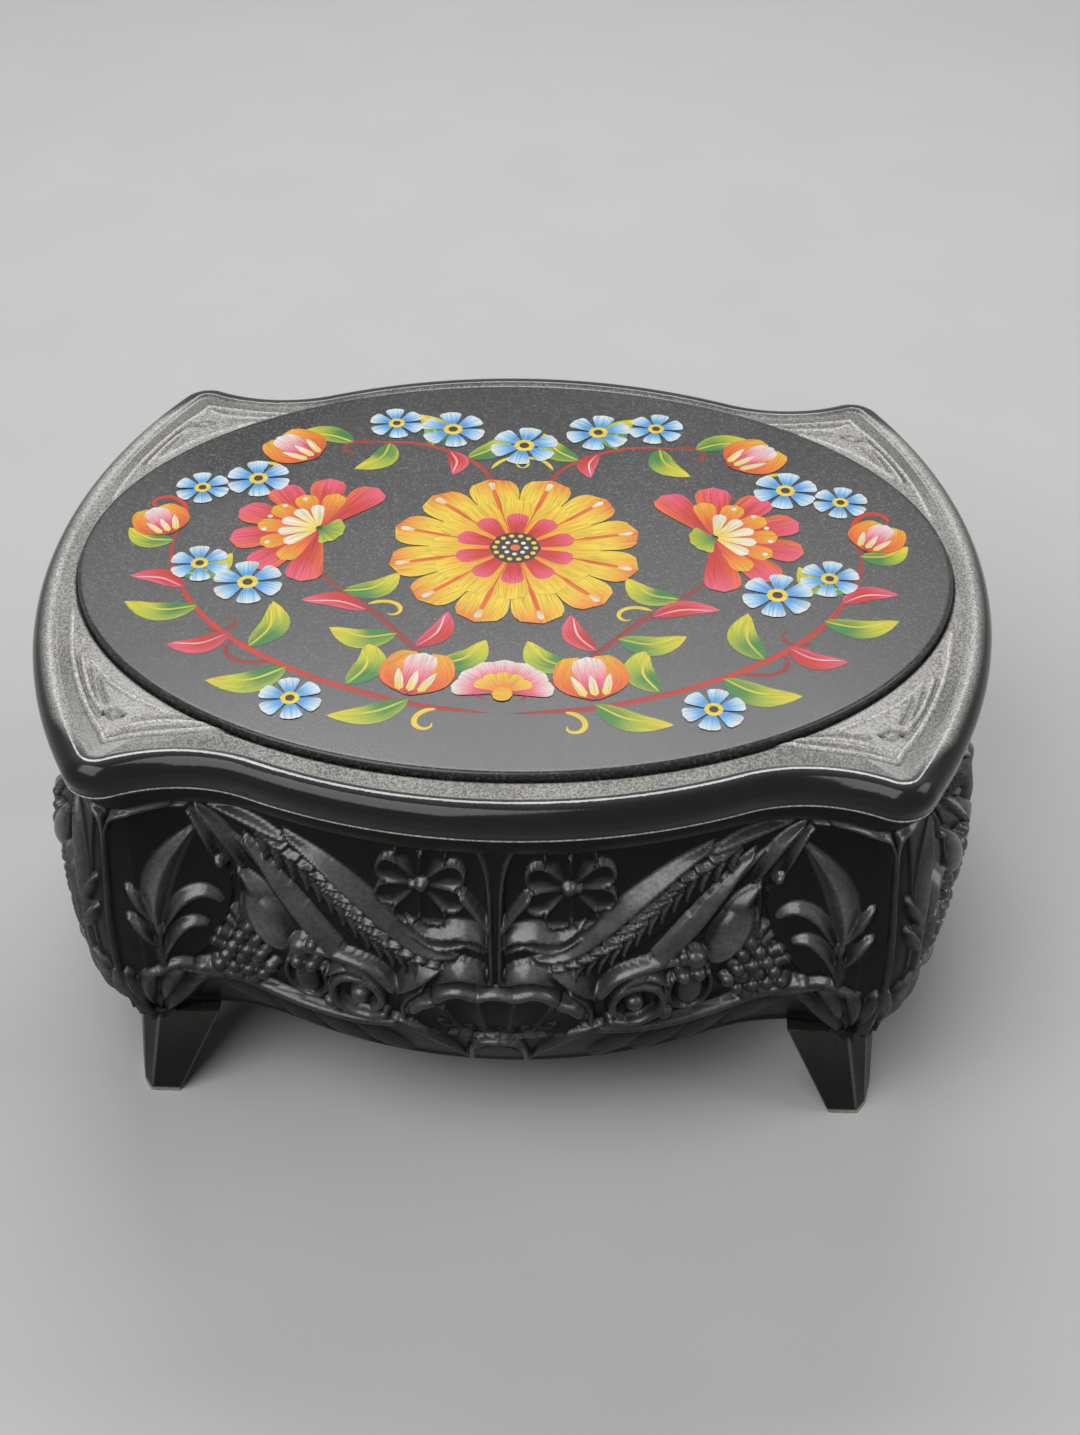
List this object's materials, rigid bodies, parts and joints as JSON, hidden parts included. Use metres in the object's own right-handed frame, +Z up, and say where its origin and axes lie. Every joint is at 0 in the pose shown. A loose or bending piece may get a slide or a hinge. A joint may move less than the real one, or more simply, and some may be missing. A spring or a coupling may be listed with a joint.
{
  "type": "jewelry box",
  "caption": "Small bombe keepsake box of black moulded plastic on splayed feet, with carved-look walls and a hinged lid that carries a raised oval plate.",
  "frame": {"origin": "on the table under the middle of the box", "axes": "+X along the length, +Y towards the hinge at the back, +Z up"},
  "size_m": [0.147, 0.1168, 0.0711],
  "materials": {
    "black_plastic": "satin black moulded plastic, dusty in the hollows",
    "plate_plastic": "glossy black plate painted by hand",
    "felt": "napped felt",
    "hinge_metal": "worn plated metal"
  },
  "bodies": {
    "casket": {"front_panel": "black_plastic", "back_panel": "black_plastic", "left_panel": "black_plastic", "right_panel": "black_plastic", "floor_plate": "black_plastic", "leg_front_left": "black_plastic", "leg_front_right": "black_plastic", "leg_back_left": "black_plastic", "leg_back_right": "black_plastic", "floor_lining": "felt", "hinge_wall_leaf": "hinge_metal", "hinge_pin": "hinge_metal", "hinge_wall_screw_left": "hinge_metal", "hinge_wall_screw_middle": "hinge_metal", "hinge_wall_screw_right": "hinge_metal"},
    "lid": {"lid_shell": "black_plastic", "painted_plate": "plate_plastic", "hinge_lid_leaf": "hinge_metal", "hinge_lid_screw_left": "hinge_metal", "hinge_lid_screw_middle": "hinge_metal", "hinge_lid_screw_right": "hinge_metal"}
  },
  "joints": [
    {"name": "lid_hinge", "type": "hinge", "parent": "casket", "child": "lid", "pos_m": [0, 0.05515, 0.0618], "axis": [-1, 0, 0], "range_deg": [0, 110]}
  ]
}
